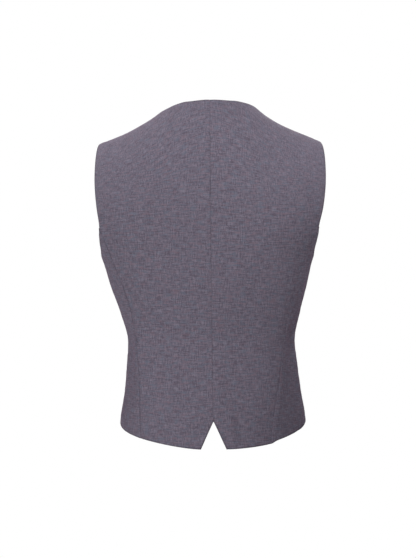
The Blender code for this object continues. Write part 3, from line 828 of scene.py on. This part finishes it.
def turned_button(name, level):
    """A lathe profile carried round a circle; in the face, four holes are sunk as steep bell
    shaped wells."""
    seat, across, up, outward = button_frame(level)
    inner = np.linspace(0.48, 0, FACE_RINGS + 1)[:-1]
    dished = np.interp(inner, [0, FACE_EDGE[0]], [FACE_MIDDLE, FACE_EDGE[1]])
    radius = np.append(column(BUTTON_PROFILE, BUTTON_COLUMNS, "radius"), inner) * BUTTON_RADIUS
    rise = np.append(column(BUTTON_PROFILE, BUTTON_COLUMNS, "rise"), dished) * BUTTON_THICK
    angle = np.linspace(0, 2 * math.pi, BUTTON_SIDES, endpoint=False)
    x = radius[:, None] * np.cos(angle)
    y = radius[:, None] * np.sin(angle)
    z = np.repeat(rise[:, None], BUTTON_SIDES, axis=1)
    for corner in range(4):
        tilt = math.pi / 4 + corner * math.pi / 2
        gap = np.hypot(x - HOLE_OUT * math.cos(tilt), y - HOLE_OUT * math.sin(tilt))
        well = np.exp(-(gap / HOLE_RADIUS) ** 4)
        z = z - np.where(radius[:, None] < FACE_EDGE[0] * BUTTON_RADIUS, HOLE_DEPTH * well, 0)
    points = seat + x[..., None] * across + y[..., None] * up + z[..., None] * outward
    count = len(radius)
    ends = np.stack([seat, seat + FACE_MIDDLE * BUTTON_THICK * outward])
    index = np.arange(count * BUTTON_SIDES).reshape(count, BUTTON_SIDES)
    beside = np.roll(index, -1, axis=1)
    band = np.stack([index[:-1], beside[:-1], beside[1:], index[1:]], axis=-1).reshape(-1, 4)
    back_centre = np.full(BUTTON_SIDES, count * BUTTON_SIDES)
    back = np.stack([beside[0], index[0], back_centre], axis=-1)
    middle = np.stack([index[-1], beside[-1], back_centre + 1], axis=-1)
    mesh = bpy.data.meshes.new(name)
    faces = band.tolist() + back.tolist() + middle.tolist()
    mesh.from_pydata(np.concatenate([points.reshape(-1, 3), ends]).tolist(), [], faces)
    mesh.shade_smooth()
    mesh.set_sharp_from_angle(angle=math.radians(50))
    return add_object(name, mesh)


def polished_horn():
    """Dark plum-grey horn: cloudy streaks across the button and a satin polish."""
    made, tree, shader = new_material("horn")
    place = add_node(tree, "TexCoord", {}).outputs["Object"]
    turned = add_node(tree, "Mapping", {
        "Vector": place, "Rotation": (0, 0.5, 0), "Scale": (150, 90, 420)})
    streaks = add_node(tree, "TexNoise", {
        "Vector": turned.outputs[0], "Scale": 1, "Detail": 4, "Distortion": 0.8}).outputs["Fac"]
    share = spread(tree, streaks, 0.38, 0.66, 0, 1)
    put_in(shader, {
        "Base Color": blend_colour(tree, share, HORN_DARK, HORN_LIGHT),
        "Roughness": spread(tree, streaks, 0.3, 0.7, 0.26, 0.40),
        "Specular IOR Level": 0.5, "Normal": raised(tree, streaks, 0.10, 0.0001)})
    return made


horn = polished_horn()
button_levels = np.linspace(TOP_BUTTON_LEVEL, BOTTOM_BUTTON_LEVEL, BUTTON_COUNT)
for number, level in enumerate(button_levels):
    button = turned_button(f"button_{number + 1}_horn", level)
    button.data.materials.append(horn)
    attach(button, "root")
    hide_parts(f"button_{number + 1}")


# ==== Button thread and buttonholes ====
# Mauve-grey buttonhole twist.  Each button is sewn with two crossed bars of three strands, and
# each hole in the right front is a narrow slot worked all round with close stitches.
TUBE_SIDES = 8
THREAD_RADIUS = 0.00013
STRAND_APART = 0.00020
BAR_REACH = 0.00175  # button's centre to a strand's end
BAR_RISE = 0.00015  # strand above the button's face
BAR_OVER = 0.00022  # upper bar above the lower one
BAR_FLAT = 0.82  # share of the reach on which a strand lies on the face
BAR_DIVE = 0.0011
HOLE_START = 0.0045  # buttonhole from here, on the edge's side of the centre
HOLE_END = -0.0165
HOLE_HALF_WIDTH = 0.00075
STITCH_WIDE = 0.00072
STITCH_HIGH = 0.00042
STITCH_PITCH = 0.00055
STITCH_SWELL = 0.16
STITCH_RISE = 0.0001
TWIST_DARK = (0.060, 0.051, 0.068, 1)
TWIST_LIGHT = (0.115, 0.100, 0.128, 1)


def tube(path, side_way, out_way, wide, high, closed=False):
    """Points, and groups of faces, of an oval profile carried along a path: half width times
    the cosine of an angle to the side, half height times its sine outwards.  Both may change
    along the path.  An open tube gets a face at each end."""
    angle = np.linspace(0, 2 * math.pi, TUBE_SIDES, endpoint=False)
    wide = np.broadcast_to(wide, len(path))[:, None, None]
    high = np.broadcast_to(high, len(path))[:, None, None]
    oval = wide * np.cos(angle)[:, None] * side_way[:, None] \
        + high * np.sin(angle)[:, None] * out_way[:, None]
    points = (path[:, None] + oval).reshape(-1, 3)
    index = np.arange(len(path) * TUBE_SIDES).reshape(len(path), TUBE_SIDES)
    rings = np.concatenate([index, index[:1]]) if closed else index
    beside = np.roll(rings, -1, axis=1)
    walls = np.stack([rings[:-1], beside[:-1], beside[1:], rings[1:]], axis=-1).reshape(-1, 4)
    return points, [walls] if closed else [walls, index[:1, ::-1], index[-1:]]


def joined_tubes(name, tubes):
    """One mesh of many tubes."""
    points = []
    faces = []
    for tube_points, groups in tubes:
        start = sum(len(part) for part in points)
        points.append(tube_points)
        for group in groups:
            faces += (group + start).tolist()
    mesh = bpy.data.meshes.new(name)
    mesh.from_pydata(np.concatenate(points).tolist(), [], faces)
    work = bmesh.new()
    work.from_mesh(mesh)
    bmesh.ops.recalc_face_normals(work, faces=work.faces)
    work.to_mesh(mesh)
    work.free()
    mesh.shade_smooth()
    return add_object(name, mesh)


def button_bars(level):
    """Crossed bars from hole to hole: each strand lies on the face for most of the way, then
    dives straight into the hole at each end; the upper bar arches over the lower one by
    1 - way^2."""
    seat, across, up, outward = button_frame(level)
    way = np.linspace(-1, 1, 25)
    strands = []
    for order, tilt in enumerate((math.pi / 4, 3 * math.pi / 4)):
        along = math.cos(tilt) * across + math.sin(tilt) * up
        beside = -math.sin(tilt) * across + math.cos(tilt) * up
        for strand in (-1, 0, 1):
            rise = FACE_EDGE[1] * BUTTON_THICK + BAR_RISE + order * BAR_OVER * (1 - way ** 2)
            rise = rise - BAR_DIVE * np.clip(np.abs(way) - BAR_FLAT, 0, 1) / (1 - BAR_FLAT)
            path = seat + (BAR_REACH * way)[:, None] * along \
                + strand * STRAND_APART * beside + rise[:, None] * outward
            side_way = np.repeat(beside[None], len(way), axis=0)
            out_way = np.repeat(outward[None], len(way), axis=0)
            strands.append(tube(path, side_way, out_way, THREAD_RADIUS, THREAD_RADIUS))
    return strands


def worked_hole(level):
    """The rim of a buttonhole: an oval profile carried round a long slot that lies on the upper
    front.  The slot is two straights and two half circles, and the profile swells with the
    cosine of the way through each stitch."""
    straight = HOLE_START - HOLE_END - 2 * HOLE_HALF_WIDTH
    around = 2 * straight + 2 * math.pi * HOLE_HALF_WIDTH
    stitches = round(around / STITCH_PITCH)
    way = np.linspace(0, around, stitches * 4, endpoint=False)
    turned = np.clip((way - straight) / HOLE_HALF_WIDTH, 0, math.pi) \
        + np.clip((way - 2 * straight) / HOLE_HALF_WIDTH - math.pi, 0, math.pi)
    gone = np.clip(way, 0, straight) - np.clip(
        way - straight - math.pi * HOLE_HALF_WIDTH, 0, straight)
    x = HOLE_END + HOLE_HALF_WIDTH + gone + HOLE_HALF_WIDTH * np.sin(turned)
    levels = level - HOLE_HALF_WIDTH * np.cos(turned)
    turns = turn_at_x(-1, -x, levels, False)
    normals = facing(-1, turns, levels)
    lift = lap_lift(-1, turns, levels)[:, None] + STITCH_RISE
    path = worn_form(-1, turns, levels) + lift * normals
    tangent = unit(np.roll(path, -1, axis=0) - np.roll(path, 1, axis=0))
    swell = 1 + STITCH_SWELL * np.cos(2 * math.pi * way / around * stitches)
    return tube(path, np.cross(normals, tangent), normals, STITCH_WIDE * swell,
                STITCH_HIGH * swell, closed=True)


def silky_twist():
    """Silky polyester twist: fine slanting plies as bands over the thread."""
    made, tree, shader = new_material("buttonhole_twist")
    place = add_node(tree, "TexCoord", {}).outputs["Object"]
    waves = add_node(tree, "TexWave", {"Vector": place, "Scale": 900, "Distortion": 1.5})
    waves.bands_direction = "DIAGONAL"
    plies = waves.outputs["Fac"]
    put_in(shader, {
        "Base Color": blend_colour(tree, plies, TWIST_DARK, TWIST_LIGHT), "Roughness": 0.55,
        "Sheen Weight": 0.2, "Normal": raised(tree, plies, 0.4, 0.00008)})
    return made


twist = silky_twist()
for number, level in enumerate(button_levels):
    bars = joined_tubes(f"button_{number + 1}_thread", button_bars(level))
    hole = joined_tubes(f"buttonhole_{number + 1}", [worked_hole(level)])
    for piece in (bars, hole):
        piece.data.materials.append(twist)
        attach(piece, "root")


# ==== Floor, light and camera ====
# A plain white studio: the garment is held at the height at which it is worn, over a pale round
# floor.  Soft square lamps stand behind it, low on the left, higher on the right and above both
# shoulders, and one large lamp stands in front.
FLOOR_HEIGHT = -1.42
FLOOR_RADIUS = 5.2
FLOOR_SIDES = 96


def floor_disc():
    """A flat round floor: one face within a ring of points on a circle."""
    angle = np.linspace(0, 2 * math.pi, FLOOR_SIDES, endpoint=False)
    ring = np.stack([FLOOR_RADIUS * np.cos(angle), FLOOR_RADIUS * np.sin(angle),
                     np.full_like(angle, FLOOR_HEIGHT)], axis=-1)
    mesh = bpy.data.meshes.new("studio_floor")
    mesh.from_pydata(ring.tolist(), [], [list(range(FLOOR_SIDES))])
    made = add_object("studio_floor", mesh)
    pale, tree, shader = new_material("pale_floor")
    place = add_node(tree, "TexCoord", {}).outputs["Object"]
    grain = add_node(tree, "TexNoise", {"Vector": place, "Scale": 3}).outputs["Fac"]
    colour = blend_colour(tree, grain, (0.90, 0.90, 0.90, 1), (0.93, 0.93, 0.93, 1))
    put_in(shader, {"Base Color": colour, "Emission Color": colour, "Emission Strength": 0.75,
                    "Roughness": 0.9})
    mesh.materials.append(pale)
    made.visible_diffuse = False
    return made


floor_disc()


GARMENT_MIDDLE = (0.0, 0.0, -0.22)
LAMP_SIZE = 0.6
LAMPS = (  # name, degrees left of straight behind, degrees up, metres away, watts
    ("low_lamp", 29, -43, 1.32, 8.0),
    ("right_lamp", -25, 35, 0.9, 4.3),
    ("left_lamp", 60, 20, 0.8, 2.0),
    ("left_high_lamp", 92, 58, 0.62, 1.7),
    ("shoulder_lamp", -84, 43, 0.6, 1.1))
FRONT_LAMP_PLACE = (-0.4, -2.6, 0.9)
FRONT_LAMP_SIZE = 1.8
FRONT_LAMP_WATTS = 50.0


def soft_lamp(name, place, size, watts):
    """A square soft lamp that points from its place at the garment's middle."""
    lamp = bpy.data.lights.new(name, "AREA")
    lamp.shape = "SQUARE"
    lamp.size = size
    lamp.energy = watts
    made = add_object(name, lamp)
    made.location = place
    way = Vector(GARMENT_MIDDLE) - Vector(place)
    made.rotation_euler = way.to_track_quat("-Z", "Y").to_euler()
    made.visible_camera = False


def lamp_place(aside_deg, up_deg, away):
    """Place at a distance from the garment's middle: aside_deg to its left of straight behind
    it, and up_deg above the level."""
    aside = math.radians(aside_deg)
    up = math.radians(up_deg)
    level_way = away * math.cos(up)
    return (level_way * math.sin(aside), level_way * math.cos(aside),
            GARMENT_MIDDLE[2] + away * math.sin(up))


for name, aside_deg, up_deg, away, watts in LAMPS:
    soft_lamp(name, lamp_place(aside_deg, up_deg, away), LAMP_SIZE, watts)
soft_lamp("front_lamp", FRONT_LAMP_PLACE, FRONT_LAMP_SIZE, FRONT_LAMP_WATTS)

studio = bpy.data.worlds.new("studio")
studio.use_nodes = True
sky = studio.node_tree
backdrop = sky.nodes["Background"]
put_in(backdrop, {"Color": (1, 1, 1, 1), "Strength": 1})
around = add_node(sky, "Background", {"Color": (1, 0.78, 0.93, 1), "Strength": 0.09})
seen = add_node(sky, "LightPath", {}).outputs["Is Camera Ray"]
either = add_node(sky, "MixShader", {0: seen, 1: around.outputs[0], 2: backdrop.outputs[0]})
put_in(sky.nodes["World Output"], {"Surface": either.outputs[0]})
bpy.context.scene.world = studio
bpy.context.scene.view_settings.view_transform = "Standard"

CAMERA_AWAY = 3.0  # from the shoulders' plane, behind the garment
CAMERA_ASIDE = 0.0046
CAMERA_HEIGHT = -0.2191
CAMERA_LENS = 126.92
CAMERA_ROLL_DEG = 0.4
view = bpy.data.cameras.new("view")
view.sensor_width = 36.0
view.lens = CAMERA_LENS
camera = add_object("view", view)
camera.location = (CAMERA_ASIDE, CAMERA_AWAY, CAMERA_HEIGHT)
camera.rotation_euler = (math.pi / 2, math.radians(CAMERA_ROLL_DEG), math.pi)
bpy.context.scene.camera = camera
